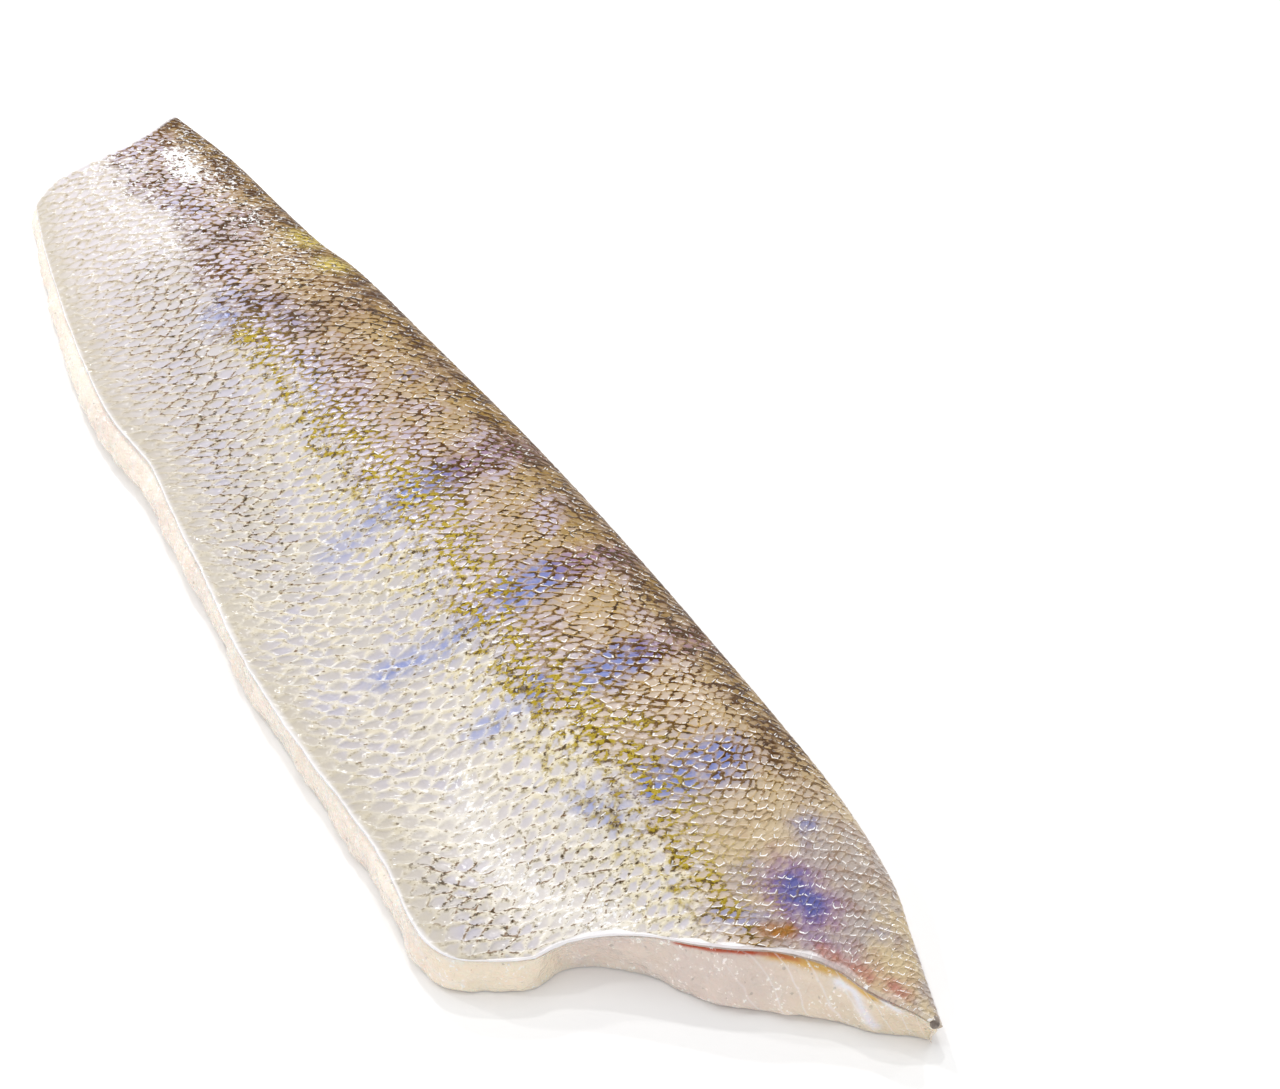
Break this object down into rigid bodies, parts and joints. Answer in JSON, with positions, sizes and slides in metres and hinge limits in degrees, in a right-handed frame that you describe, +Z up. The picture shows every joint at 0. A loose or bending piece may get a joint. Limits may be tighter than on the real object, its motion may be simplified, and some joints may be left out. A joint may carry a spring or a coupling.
{
  "type": "zander fillet",
  "caption": "Raw skin-on zander fillet lying skin side up, with a belly flap, a tapering tail cut and an oblique head cut.",
  "frame": {"origin": "centre of the footprint's bounding box, on the surface that the flesh side rests on", "axes": "+X along the fillet to the head end, +Y across to the back of the fish, +Z up out of the skin side"},
  "size_m": [0.296, 0.0792, 0.0216],
  "materials": {
    "raw_flesh": "wet, slightly translucent raw white fish, cream to pale pink",
    "fish_skin": "wet descaled skin with a net of scale pockets, tan back with violet-blue bars, cream belly"
  },
  "bodies": {
    "root": {"flesh": "raw_flesh", "skin": "fish_skin"}
  },
  "joints": []
}
